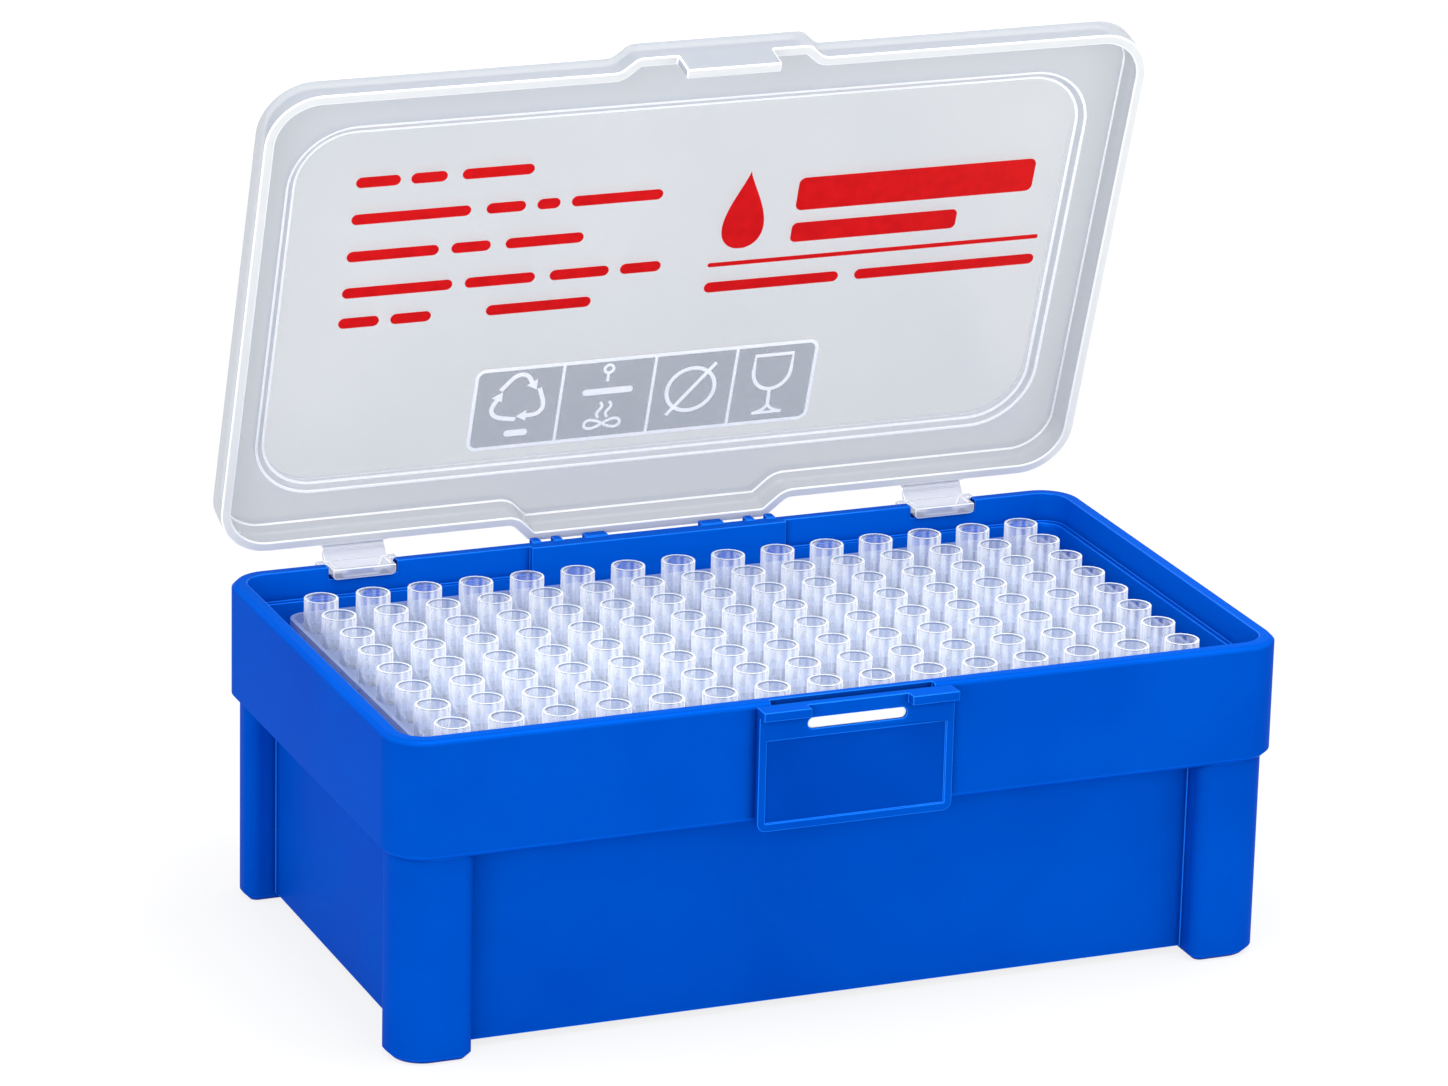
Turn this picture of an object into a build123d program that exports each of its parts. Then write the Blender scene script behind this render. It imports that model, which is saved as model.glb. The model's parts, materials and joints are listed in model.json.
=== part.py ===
"""Hinged box of pipette tips: a deep box on four corner posts, a see-through lid on two
living hinges, and a deck that holds 8 rows of 15 tips.

Millimetres. +X runs along the box, +Y to the hinge side, +Z up. The origin is the middle
of the plane that the feet stand on. The lid is drawn where it lies when shut, in its own
plane, and that plane is swung open about the hinge line.
"""
import os
from math import radians, tan

from build123d import *

# ---- box: overall ----
box_l = 153.0           # over the collar, along X
box_w = 86.6            # over the collar, along Y
box_h = 54.5            # feet to rim
collar_h = 20.0         # tall band round the top
corner_r = 7.0
rim_t = 2.6             # collar wall above the ledge
rim_bevel = 0.8
collar_bevel = 1.0      # lower outer edge of the collar

# ---- box: walls and posts below the collar ----
panel_in = 6.2          # wall panels, behind the collar face
wall_t = 2.0
floor_t = 1.8
foot_h = 1.3            # feet, below the underside of the floor
post_in = 1.3           # post faces, behind the collar face
post_l = 12.8           # along X
post_w = 9.4            # along Y
post_r = 6.0            # outer corner
post_edge_r = 2.25      # the two edges beside a panel
post_wall = 3.2
foot_bevel = 1.1

# ---- box: inside of the collar ----
ledge_drop = 5.0        # rim down to the ledge
ledge_w = 1.0
seat_angle = 4.0        # degrees that the wall leans in, from ledge to shelf
shelf_t = 2.0

# ---- tips and their deck ----
pitch = 9.0
columns = 15
rows = 8
tip_sides = 6           # 120 of them, so each round form is kept to a few flats
shank_d = 5.0           # just below the shoulder
shoulder = 0.55         # rests on the deck round the hole
hub_h = 5.2             # rim of the tip down to its shoulder
hub_wall = 0.4
tip_len = 47.0
point_d = 1.0
point_wall = 0.25
tip_drop = 1.8          # box rim down to the tips' rims
hole_gap = 0.15         # round the shank
deck_t = 1.5
lip_gap_x = 1.15        # outer tips to the deck's raised edge, along X
lip_gap_y = 0.25        # and along Y
tray_r = 3.2
lip_h = 1.6             # raised edge round the deck
lip_t = 0.7
skirt_t = 0.9
tray_foot_h = 3.0       # broad foot that stands on the shelf
tray_gap = 0.25         # foot to the collar's inside

# ---- hinge ----
hinge_back = 2.7        # hinge line behind the box
hinge_up = 1.5          # hinge line above the rim
hinge_span = 105.0      # between the two hinges
hinge_w = 11.0
web_gap = 0.35          # half the length of the thin web between lid and clip
open_deg = 72.0         # how far the lid stands open

# ---- notches and clips on the back wall ----
notch_gap = 0.5         # beside the clip
notch_d = 2.1
peg_gap = 0.2           # peg to window, front and back
peg_end_gap = 0.5
peg_h = 0.9
clip_t = 1.8            # rear leg
clip_leg_h = 6.5        # rim down to the end of the rear leg
clip_flare = 1.5        # rear leg wider than the saddle, each side
clip_leg_gap = 0.1
clip_lip_t = 0.8
clip_clear = 0.3        # top of the saddle below the rim
cheek_t = 0.7           # either side of the funnel
pocket_w = 3.9
window_l = 5.4
window_w = 1.2

# ---- lid ----
lid_gap = 0.1           # rim to the shut lid
lid_over_x = 0.4        # lid's edge beyond the box's faces
lid_over_y = 1.0
lid_h = 6.5
lid_r = 9.0
lid_wall = 1.7
lid_top = 1.3
lid_bevel = 1.6
step_side = 6.7         # lid's edge to the step round its panel
step_front = 9.8
step_rear = 7.5
panel_r = 11.0
panel_rise = 0.8
panel_taper = 58.0      # degrees, of the step round the panel
front_bump = (17.8, 15.0, 2.5)   # half width at the foot, at the top, and how far it stands out
rear_bump = (24.9, 21.4, 3.6)
bump_round = 2.4
tongue_w = 16.4
tongue_drop = 4.4
tab_h = 4.0
tab_end_h = 0.8

# ---- catch plate and the wall behind it ----
plate_w = 33.4
plate_top = 0.4         # below the rim
plate_bottom = 21.0     # below the rim
plate_t = 1.6
plate_r = 1.5
plate_rim = 1.3
field_in = 0.35
ear_h = 1.5
ear_out = 3.5
ear_gap = 0.45          # beside the tongue
slot_spare = 0.6        # slot longer than the tongue is wide
slot_h = 1.85
slot_top = 2.7          # below the rim
setback_w = 28.0
setback_t = 1.3
setback_h = 12.0

# ---- back wall ----
pad_w = 46.0
rib_x = 21.2            # two narrow ribs a side and one broad one
rib_step = 3.8
rib_t = 1.5
broad_rib_x = 10.5
broad_rib_t = 4.0
rib_out = 0.8
rib_up = 0.3
rib_h = 6.0

# ---- worked out ----
near = 0.01             # when an edge or a face is picked by its place
half_l, half_w = box_l / 2, box_w / 2
collar_z = box_h - collar_h
ledge_z = box_h - ledge_drop
shelf_z = collar_z + shelf_t
post_x, post_y = half_l - post_in, half_w - post_in
panel_x, panel_y = half_l - panel_in, half_w - panel_in
room_l, room_w = 2 * (panel_x - wall_t), 2 * (panel_y - wall_t)
mouth_l, mouth_w = box_l - 2 * rim_t, box_w - 2 * rim_t
seat_l, seat_w = mouth_l - 2 * ledge_w, mouth_w - 2 * ledge_w
seat_lean = (ledge_z - shelf_z) * tan(radians(seat_angle))
shelf_l, shelf_w = seat_l - 2 * seat_lean, seat_w - 2 * seat_lean
mouth_r = corner_r - rim_t
seat_r = mouth_r - ledge_w
tip_top = box_h - tip_drop
hub_r = shank_d / 2 + shoulder
tray_l = (columns - 1) * pitch + 2 * (hub_r + lip_gap_x + lip_t)
tray_w = (rows - 1) * pitch + 2 * (hub_r + lip_gap_y + lip_t)
deck_z = tip_top - hub_h
tray_foot_l, tray_foot_w = shelf_l - 2 * tray_gap, shelf_w - 2 * tray_gap
hinge_y = half_w + hinge_back
hinge_z = box_h + hinge_up
hinge_x = hinge_span / 2
lid_z = box_h + lid_gap
lid_l, lid_w = box_l + 2 * lid_over_x, box_w + 2 * lid_over_y
panel_l, panel_w = lid_l - 2 * step_side, lid_w - step_front - step_rear
panel_mid = (step_front - step_rear) / 2
slot_l = tongue_w + slot_spare
notch_z = box_h - notch_d
notch_w = hinge_w + 2 * notch_gap
swing = Pos(0, hinge_y, hinge_z) * Rot(-open_deg, 0, 0) * Pos(0, -hinge_y, -hinge_z)
lid_plane = Plane(swing)
lid_up = Axis(lid_plane.origin, lid_plane.z_dir)


# ---- box ----
def outer_corners(sketch):
    """The four corners of the posts that point away from the box."""
    return sketch.vertices().filter_by(
        lambda v: abs(v.X) > post_x - near and abs(v.Y) > post_y - near
    )


def edge_corners(sketch):
    """The corners of the posts beside a panel, two to a post."""
    return sketch.vertices().filter_by(
        lambda v: (abs(v.X) > post_x - near) != (abs(v.Y) > post_y - near)
    )


with BuildSketch() as posts_plan:
    with GridLocations(2 * post_x - post_l, 2 * post_y - post_w, 2, 2):
        Rectangle(post_l, post_w)
    fillet(edge_corners(posts_plan), post_edge_r)
    fillet(outer_corners(posts_plan), post_r)

with BuildSketch() as pockets_plan:
    hollow_l = post_l - post_wall - wall_t
    hollow_w = post_w - post_wall - wall_t
    with GridLocations(
        2 * (post_x - post_wall) - hollow_l, 2 * (post_y - post_wall) - hollow_w, 2, 2
    ):
        RectangleRounded(hollow_l, hollow_w, wall_t / 2)

with BuildPart() as box_base:
    # feet and posts up into the collar
    with BuildSketch():
        add(posts_plan.sketch)
    extrude(amount=shelf_z)
    chamfer(box_base.faces().sort_by(Axis.Z)[:4].edges(), foot_bevel)
    with BuildSketch(Plane.XY.offset(foot_h)):
        Rectangle(2 * panel_x, 2 * panel_y)
    extrude(amount=shelf_z - foot_h)
    # collar
    with BuildSketch(Plane.XY.offset(collar_z)):
        RectangleRounded(box_l, box_w, corner_r)
    extrude(amount=collar_h)
    chamfer(box_base.faces().sort_by(Axis.Z)[-1].edges(), rim_bevel)
    underside = box_base.faces().filter_by_position(Axis.Z, collar_z - near, collar_z + near)
    chamfer(underside.sort_by(SortBy.AREA)[-1].outer_wire().edges(), collar_bevel)
    # room for the tips
    with BuildSketch(Plane.XY.offset(foot_h + floor_t)):
        Rectangle(room_l, room_w)
        add(pockets_plan.sketch)
    extrude(amount=box_h, mode=Mode.SUBTRACT)
    # seat of the deck, leaning in from the ledge to the shelf
    with BuildSketch(Plane.XY.offset(shelf_z)):
        RectangleRounded(shelf_l, shelf_w, seat_r)
    with BuildSketch(Plane.XY.offset(ledge_z)):
        RectangleRounded(seat_l, seat_w, seat_r)
    loft(ruled=True, mode=Mode.SUBTRACT)
    with BuildSketch(Plane.XY.offset(ledge_z)):
        RectangleRounded(mouth_l, mouth_w, mouth_r)
    extrude(amount=ledge_drop, mode=Mode.SUBTRACT)
    # thicker middle of the back wall
    with BuildSketch(Plane.XY.offset(ledge_z)):
        with Locations((0, mouth_w / 2 - ledge_w)):
            Rectangle(pad_w, ledge_w + rim_t / 2, align=(Align.CENTER, Align.MIN))
    extrude(amount=ledge_drop)
    # ribs outside the back wall, against which the open lid stops
    with BuildSketch(Plane.XY.offset(box_h + rib_up - rib_h)):
        for side in (-1, 1):
            for x, width in ((rib_x, rib_t), (rib_x - rib_step, rib_t), (broad_rib_x, broad_rib_t)):
                with Locations((side * x, half_w + rib_out)):
                    Rectangle(width, rib_out + rim_t / 2, align=(Align.CENTER, Align.MAX))
    extrude(amount=rib_h)
    # notches for the hinge clips, each with a peg that stands in the clip's window
    with BuildSketch(Plane.XY.offset(notch_z)):
        with Locations((-hinge_x, half_w), (hinge_x, half_w)):
            Rectangle(notch_w, 4 * rim_t)
    extrude(amount=notch_d, mode=Mode.SUBTRACT)
    with BuildSketch(Plane.XY.offset(notch_z)):
        with Locations((-hinge_x, half_w - rim_t / 2), (hinge_x, half_w - rim_t / 2)):
            Rectangle(window_l - 2 * peg_end_gap, window_w - 2 * peg_gap)
    extrude(amount=peg_h)
    # the front wall is set back behind the catch, and slotted for its tongue
    with BuildSketch(Plane.XY.offset(box_h - setback_h)):
        with Locations((0, -half_w)):
            Rectangle(setback_w, 2 * setback_t)
    extrude(amount=setback_h, mode=Mode.SUBTRACT)
    with BuildSketch(Plane.XZ.offset(half_w)):
        with Locations((0, box_h - slot_top - slot_h / 2)):
            SlotOverall(slot_l, slot_h)
    extrude(amount=-2 * rim_t, mode=Mode.SUBTRACT)


# ---- catch plate ----
with BuildPart() as catch_plate:
    plate_h = plate_bottom - plate_top
    plate_mid = box_h - (plate_bottom + plate_top) / 2
    with BuildSketch(Plane.XZ.offset(half_w)):
        with Locations((0, plate_mid)):
            RectangleRounded(plate_w, plate_h, plate_r)
    extrude(amount=plate_t)
    # ears either side of the tongue
    ear_x = tongue_w / 2 + ear_gap
    with BuildSketch(Plane.XZ.offset(half_w)):
        with Locations((0, box_h - plate_top)):
            Rectangle(plate_w, ear_h, align=(Align.CENTER, Align.MAX))
        with Locations((0, box_h - plate_top)):
            Rectangle(2 * ear_x, ear_h, align=(Align.CENTER, Align.MAX), mode=Mode.SUBTRACT)
    extrude(amount=ear_out)
    # slot under the bar that the tongue hooks behind
    with BuildSketch(Plane.XZ.offset(half_w)):
        with Locations((0, box_h - slot_top - slot_h / 2)):
            SlotOverall(slot_l, slot_h)
    extrude(amount=plate_t, mode=Mode.SUBTRACT)
    # sunk field inside a narrow border
    field_top = slot_top + slot_h + plate_rim
    with BuildSketch(Plane.XZ.offset(half_w + plate_t - field_in)):
        with Locations((0, box_h - field_top)):
            Rectangle(
                plate_w - 2 * plate_rim,
                plate_bottom - plate_rim - field_top,
                align=(Align.CENTER, Align.MAX),
            )
    extrude(amount=field_in, mode=Mode.SUBTRACT)


# ---- deck for the tips ----
with BuildPart() as tip_tray:
    with BuildSketch(Plane.XY.offset(shelf_z)):
        RectangleRounded(tray_foot_l, tray_foot_w, seat_r)
    extrude(amount=tray_foot_h)
    with BuildSketch(Plane.XY.offset(shelf_z)):
        RectangleRounded(tray_l, tray_w, tray_r)
    extrude(amount=deck_z + lip_h - shelf_z)
    with BuildSketch(Plane.XY.offset(deck_z)):
        RectangleRounded(tray_l - 2 * lip_t, tray_w - 2 * lip_t, tray_r - lip_t)
    extrude(amount=lip_h, mode=Mode.SUBTRACT)
    with BuildSketch(Plane.XY.offset(shelf_z)):
        RectangleRounded(tray_l - 2 * skirt_t, tray_w - 2 * skirt_t, tray_r - skirt_t)
    extrude(amount=deck_z - shelf_z - deck_t, mode=Mode.SUBTRACT)
    with BuildSketch(Plane.XY.offset(deck_z)):
        with GridLocations(pitch, pitch, columns, rows):
            RegularPolygon(
                shank_d / 2 + hole_gap,
                tip_sides,
                major_radius=False,
                rotation=90 - 180 / tip_sides,
            )
    extrude(amount=-deck_t, mode=Mode.SUBTRACT)


# ---- one tip, and the rows ----
def faceted(*profile):
    """The form whose section is this profile, seen across each pair of its flats in turn.

    The profile's points are (radius, height) up one side, and the other side mirrors them.
    """
    with BuildPart() as form:
        for turn in range(tip_sides // 2):
            with BuildSketch(Plane.YZ.rotated((0, 0, 360 / tip_sides * turn))):
                with BuildLine():
                    Polyline(*profile, *[(-x, z) for x, z in reversed(profile)], close=True)
                make_face()
            extrude(amount=2 * hub_r, both=True, mode=Mode.INTERSECT if turn else Mode.ADD)
    return form.part


point_z = tip_top - tip_len
bore = faceted((point_d / 2 - point_wall, point_z), (hub_r - hub_wall, tip_top))
with BuildPart() as tip:
    add(faceted(
        (point_d / 2, point_z), (shank_d / 2, deck_z), (hub_r, deck_z), (hub_r, tip_top)
    ))
    add(bore, mode=Mode.SUBTRACT)


def tip_row(y):
    """One row of tips along X at this Y, as separate solids."""
    with BuildPart() as row:
        with Locations((0, y, 0)):
            with GridLocations(pitch, pitch, columns, 1):
                add(tip.part)
    return row.part


# ---- hinge clips, one saddle over the back wall at each notch ----
saddle_z = box_h - clip_clear
leg_w = hinge_w + 2 * clip_flare
leg_y = half_w + clip_leg_gap
leg_back = leg_y + clip_t
lip_y = half_w - rim_t - clip_lip_t
crest_z = hinge_z - web_gap
crest_y = hinge_y - web_gap
saddle_back = crest_y - (crest_z - saddle_z) / 1.2


def funnel(x):
    """The clip's hollow, from its mouth down to the window over the peg."""
    mid_y = half_w - rim_t / 2
    front_y = half_w - rim_t
    with BuildPart() as hollow:
        with BuildSketch(Plane.YZ.offset(x)):
            with BuildLine():
                Polyline(
                    (mid_y - window_w / 2, notch_z),
                    (mid_y + window_w / 2, notch_z),
                    (front_y + pocket_w, saddle_z),
                    (front_y, saddle_z),
                    close=True,
                )
            make_face()
        extrude(amount=hinge_w, both=True)
        with BuildSketch(Plane.XZ):
            with Locations((x, (notch_z + saddle_z) / 2)):
                Trapezoid(hinge_w - 2 * cheek_t, saddle_z - notch_z, 45, rotation=180)
        extrude(amount=-box_w, mode=Mode.INTERSECT)
    return hollow.part


def hinge_clip(x):
    """The saddle whose crest ends just below the hinge line, in the notch at this X."""
    with BuildPart() as clip:
        with BuildSketch(Plane.YZ.offset(x - hinge_w / 2)):
            with BuildLine():
                Polyline(
                    (lip_y, notch_z),
                    (lip_y, saddle_z),
                    (saddle_back, saddle_z),
                    (crest_y, crest_z),
                    (hinge_y, crest_z),
                    (hinge_y, crest_z - 2 * web_gap),
                    (leg_back, notch_z + clip_t / 2),
                    (leg_back, notch_z),
                    close=True,
                )
            make_face()
        extrude(amount=hinge_w)
        fillet(clip.edges().filter_by(Axis.Y).group_by(Axis.Z)[0], clip_lip_t)
        # rear leg, flared wider than the saddle
        with BuildSketch(Plane.XZ.offset(-leg_back)):
            with Locations((x, box_h - clip_leg_h)):
                Rectangle(leg_w, clip_leg_h - clip_clear, align=(Align.CENTER, Align.MIN))
        extrude(amount=clip_t)
        add(funnel(x), mode=Mode.SUBTRACT)
    return clip.part


# ---- lid, drawn as it lies when shut ----
def bump(half_foot, half_top, out, edge_y):
    """A bulge of the lid's edge with sloping ends, from edge_y outward along Y."""
    side = 1 if edge_y > 0 else -1
    with BuildSketch() as plan:
        with BuildLine():
            Polyline(
                (-half_foot, edge_y - side * lid_wall),
                (-half_foot, edge_y),
                (-half_top, edge_y + side * out),
                (half_top, edge_y + side * out),
                (half_foot, edge_y),
                (half_foot, edge_y - side * lid_wall),
                close=True,
            )
        make_face()
    return plan.sketch


with BuildSketch() as lid_plan:
    RectangleRounded(lid_l, lid_w, lid_r)
    add(bump(*front_bump, -lid_w / 2))
    add(bump(*rear_bump, lid_w / 2))
    fillet(lid_plan.vertices().filter_by(lambda v: abs(v.X) < rear_bump[0] + 1), bump_round)

with BuildPart() as lid:
    with BuildSketch(lid_plane.offset(lid_z)):
        add(lid_plan.sketch)
    extrude(amount=lid_h)
    chamfer(lid.faces().sort_by(lid_up)[-1].edges(), lid_bevel)
    # hollow
    with BuildSketch(lid_plane.offset(lid_z)):
        offset(lid_plan.sketch, -lid_wall)
    extrude(amount=lid_h - lid_top, mode=Mode.SUBTRACT)
    # panel that steps up all round
    with BuildSketch(lid_plane.offset(lid_z + lid_h - lid_bevel / 2)):
        with Locations((0, panel_mid)):
            RectangleRounded(panel_l, panel_w, panel_r)
    extrude(amount=lid_bevel / 2)
    with BuildSketch(lid_plane.offset(lid_z + lid_h)):
        with Locations((0, panel_mid)):
            RectangleRounded(panel_l, panel_w, panel_r)
    extrude(amount=panel_rise, taper=panel_taper)
    with BuildSketch(lid_plane.offset(lid_z + lid_h - lid_top)):
        with Locations((0, panel_mid)):
            RectangleRounded(panel_l, panel_w, panel_r)
    extrude(amount=panel_rise, taper=panel_taper, mode=Mode.SUBTRACT)
    # tongue of the catch, flush with the front bump
    tongue_y = -lid_w / 2 - front_bump[2]
    with BuildSketch(lid_plane.offset(lid_z - tongue_drop)):
        with Locations((0, tongue_y)):
            Rectangle(tongue_w, lid_wall, align=(Align.CENTER, Align.MIN))
    extrude(amount=tongue_drop + lid_wall)
    # tabs that narrow to the hinge line
    for x in (-hinge_x, hinge_x):
        with BuildSketch(Plane(lid_plane * Location(Plane.YZ.offset(x - hinge_w / 2)))):
            with BuildLine():
                Polyline(
                    (lid_w / 2 - lid_wall / 2, lid_z),
                    (lid_w / 2, lid_z),
                    (crest_y, hinge_z + web_gap),
                    (hinge_y, hinge_z + web_gap),
                    (hinge_y, hinge_z + web_gap + tab_end_h),
                    (lid_w / 2, lid_z + tab_h),
                    (lid_w / 2 - lid_wall / 2, lid_z + tab_h),
                    close=True,
                )
            make_face()
        extrude(amount=hinge_w)


# ---- write every piece ----
os.makedirs("parts", exist_ok=True)
pieces = {
    "box_base": box_base.part,
    "catch_plate": catch_plate.part,
    "tip_tray": tip_tray.part,
    "hinge_clip_left": hinge_clip(-hinge_x),
    "hinge_clip_right": hinge_clip(hinge_x),
    "lid": lid.part,
}
for number, letter in enumerate("abcdefgh"[:rows]):
    pieces["tips_row_" + letter] = tip_row(pitch * (number - (rows - 1) / 2))
for name, piece in pieces.items():
    piece.label = name
    export_step(piece, f"parts/{name}.step")
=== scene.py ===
# %% [markdown]
# # A box of pipette tips
# The part is a moulded blue box with a clear hinged lid. A thin deck inside it holds
# 120 hollow tips in 8 rows of 15. Its sizes come from a CAD model, which is loaded as a
# fixed frame: nothing in it is moved. Blender adds what the eye judges: soft edges, the
# finish of each plastic, the round tips, and the ink printed on the lid.

import json
import math

import bpy
import numpy as np
from mathutils import Matrix, Vector


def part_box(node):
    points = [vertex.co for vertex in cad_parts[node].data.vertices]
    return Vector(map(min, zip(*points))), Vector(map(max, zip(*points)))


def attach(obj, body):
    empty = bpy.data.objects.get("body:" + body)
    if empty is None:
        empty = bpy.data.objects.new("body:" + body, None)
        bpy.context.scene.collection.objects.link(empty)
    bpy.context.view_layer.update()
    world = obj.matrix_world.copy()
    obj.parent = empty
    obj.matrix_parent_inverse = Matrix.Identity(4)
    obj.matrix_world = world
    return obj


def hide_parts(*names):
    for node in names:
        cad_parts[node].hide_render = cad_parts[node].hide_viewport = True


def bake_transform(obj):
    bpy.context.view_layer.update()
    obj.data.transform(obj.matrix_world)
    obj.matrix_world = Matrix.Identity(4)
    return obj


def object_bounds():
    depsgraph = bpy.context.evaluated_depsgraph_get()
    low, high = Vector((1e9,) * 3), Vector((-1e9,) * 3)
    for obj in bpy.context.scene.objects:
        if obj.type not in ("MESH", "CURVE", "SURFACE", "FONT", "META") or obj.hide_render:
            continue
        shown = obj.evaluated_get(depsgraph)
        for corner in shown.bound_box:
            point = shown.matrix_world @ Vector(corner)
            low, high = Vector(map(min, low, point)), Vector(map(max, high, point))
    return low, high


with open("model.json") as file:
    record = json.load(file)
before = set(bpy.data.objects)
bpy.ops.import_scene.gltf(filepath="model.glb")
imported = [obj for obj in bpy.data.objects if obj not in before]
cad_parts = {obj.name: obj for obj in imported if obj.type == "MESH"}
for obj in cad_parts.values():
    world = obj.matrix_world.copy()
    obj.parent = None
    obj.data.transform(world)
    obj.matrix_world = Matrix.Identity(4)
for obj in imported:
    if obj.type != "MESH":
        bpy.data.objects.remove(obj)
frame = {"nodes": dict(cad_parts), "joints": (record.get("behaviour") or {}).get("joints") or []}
cad_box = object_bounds()
MM = 0.001


def in_mm(metres, digits=1):
    """Lengths in millimetres, rounded for printing."""
    return [round(value / MM, digits) for value in metres]


print("CAD box in mm:", [in_mm(corner) for corner in cad_box])

# %% [markdown]
# ## The hinge line
# The lid rests open. Shapes that belong to the lid are easier to draw with the lid shut,
# where its plate is level, and then to turn about the hinge line. The frame says where
# that line is and how far the lid turns to shut, so both come from there. The same turn,
# run backwards, lays the lid's own mesh flat, and that gives the plate's height.

# %% Turning about the hinge
hinge = frame["joints"][0]
pivot = np.array(hinge["pos_m"])
open_turn = math.radians(hinge["range_deg"][1])


def turned(points, angle):
    """Points turned about the hinge line, which runs along X.
    y' = y cos a - z sin a and z' = y sin a + z cos a, both measured from the line."""
    y, z = points[..., 1] - pivot[1], points[..., 2] - pivot[2]
    c, s = math.cos(angle), math.sin(angle)
    turned_y = pivot[1] + y * c - z * s
    turned_z = pivot[2] + y * s + z * c
    return np.stack([points[..., 0], turned_y, turned_z], axis=-1)


def node_points(name):
    """Every corner point of a CAD node, one row each, in metres."""
    mesh = frame["nodes"][name].data
    points = np.empty(len(mesh.vertices) * 3, np.float32)
    mesh.vertices.foreach_get("co", points)
    return points.reshape(-1, 3).astype(float)


lid_points = node_points("lid")
plate_thick = 1.3 * MM
plate_inside = turned(lid_points, open_turn)[:, 2].max() - plate_thick
print("the shut lid's plate has its inner face at", *in_mm([plate_inside], 2), "mm")

# %% [markdown]
# ## The camera
# It stands to the front and left of the box, a little above the rim, with a long lens
# that keeps the upright edges nearly parallel. Three turns place it: round the box, up,
# and a slight roll. The rest is a distance along the line of sight and a small step
# sideways and up. Built this way, each number has a meaning of its own.

# %% Place the camera
view_turn = math.radians(-22.565)
view_rise = math.radians(18.414)
view_roll = math.radians(1.43)
view_distance = 1082.67 * MM
view_side = -4.25 * MM
view_up = 10.571 * MM
plate_below_rim = 0.4 * MM
rim_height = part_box("catch_plate")[1].z + plate_below_rim

back = Vector((
    math.sin(view_turn) * math.cos(view_rise),
    -math.cos(view_turn) * math.cos(view_rise),
    math.sin(view_rise),
))
level_right = Vector((0, 0, 1)).cross(back).normalized()
level_up = back.cross(level_right)
right = math.cos(view_roll) * level_right + math.sin(view_roll) * level_up
up = -math.sin(view_roll) * level_right + math.cos(view_roll) * level_up
place = right * view_side + up * view_up + back * view_distance + Vector((0, 0, rim_height))

lens = bpy.data.cameras.new("camera")
lens.sensor_width = 36          # mm, as is the focal length
lens.lens = 165.06
lens.clip_start = 0.05          # metres, as is the far end
lens.clip_end = 50
camera = bpy.data.objects.new("camera", lens)
camera.matrix_world = Matrix.Translation(place) @ Matrix((right, up, back)).transposed().to_4x4()
bpy.context.scene.collection.objects.link(camera)
bpy.context.scene.camera = camera
print("camera at", in_mm(place), "mm")

# %% [markdown]
# ## Small tools for node trees
# Every material and group below is made of nodes joined by links. A few short functions
# keep that readable. The ones for maths give back a socket, so that they can be put one
# inside the other like a formula. A Mix node has a set of sockets for each kind of value,
# so the ones used here get names.

# %% Node helpers
COLOUR_A, COLOUR_B, COLOUR_RESULT = 6, 7, 2     # sockets of a Mix node for colours
FLOAT_A, FLOAT_B, FLOAT_RESULT = 2, 3, 0        # and of one for plain numbers


def fresh_tree(owner):
    """The emptied node tree of a new world or material."""
    owner.use_nodes = True
    owner.node_tree.nodes.clear()
    return owner.node_tree


def add_node(tree, kind, **values):
    """A new node of that kind. Each value goes to the property or input of its name."""
    node = tree.nodes.new(kind)
    for name, value in values.items():
        label = name.replace("_", " ")
        if hasattr(node, name):
            setattr(node, name, value)
        elif label in node.inputs:
            node.inputs[label].default_value = value
        else:
            node.inputs[label.title()].default_value = value
    return node


def join(tree, *pairs):
    """Links each (output, input) pair of sockets."""
    for output, socket in pairs:
        tree.links.new(output, socket)


def feed(tree, node, *terms):
    """Gives a node's first inputs those terms, each a socket or a plain value, and returns
    the first output that is in use."""
    for socket, term in zip(node.inputs, terms):
        if isinstance(term, bpy.types.NodeSocket):
            tree.links.new(term, socket)
        else:
            socket.default_value = term
    return next(output for output in node.outputs if output.enabled)


def calc(tree, operation, *terms):
    """The result of a Math node on those terms."""
    return feed(tree, add_node(tree, "ShaderNodeMath", operation=operation), *terms)


def calc_vector(tree, operation, *terms):
    """The result of a Vector Math node on those terms."""
    return feed(tree, add_node(tree, "ShaderNodeVectorMath", operation=operation), *terms)


def spread(tree, value, *limits):
    """A value mapped from its old low and high to a new low and high, which are 0 and 1
    unless given, and held between them."""
    return feed(tree, add_node(tree, "ShaderNodeMapRange"), value, *limits)


def noise(tree, place, scale, detail, roughness):
    """Noise from 0 to 1 at a place, at a scale that is a socket."""
    node = add_node(tree, "ShaderNodeTexNoise", Detail=detail, Roughness=roughness)
    join(tree, (place, node.inputs["Vector"]), (scale, node.inputs["Scale"]))
    return node.outputs["Fac"]


def own(tree, kind):
    """The piece's own Object coordinates or Normal."""
    return add_node(tree, "ShaderNodeTexCoord").outputs[kind]


def from_srgb(*channels):
    """A colour given as 0-255 screen values, as the linear colour that shaders expect."""
    share = np.array(channels, float) / 255
    linear = np.where(share <= 0.04045, share / 12.92, ((share + 0.055) / 1.055) ** 2.4)
    return (*linear.tolist(), 1)


print("mid grey 188 is", round(from_srgb(188, 188, 188)[0], 3), "in linear light")

# %% [markdown]
# ## The white background
# The box stands on a pale floor in soft light, with white all round. The white is not
# made with more light, which would bleach the plastics: camera rays that meet the world
# or the floor are simply shown white. Mirrored and transmitted rays are too, so that
# gloss and clear walls match. Every other ray sees a soft, dimmer studio.

# %% The world
def sees_background(tree):
    """1 for rays that should meet the white background: camera, glossy, transmission."""
    ray = add_node(tree, "ShaderNodeLightPath").outputs
    straight = calc(tree, "MAXIMUM", ray["Is Camera Ray"], ray["Is Glossy Ray"])
    return calc(tree, "MAXIMUM", straight, ray["Is Transmission Ray"])


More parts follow.
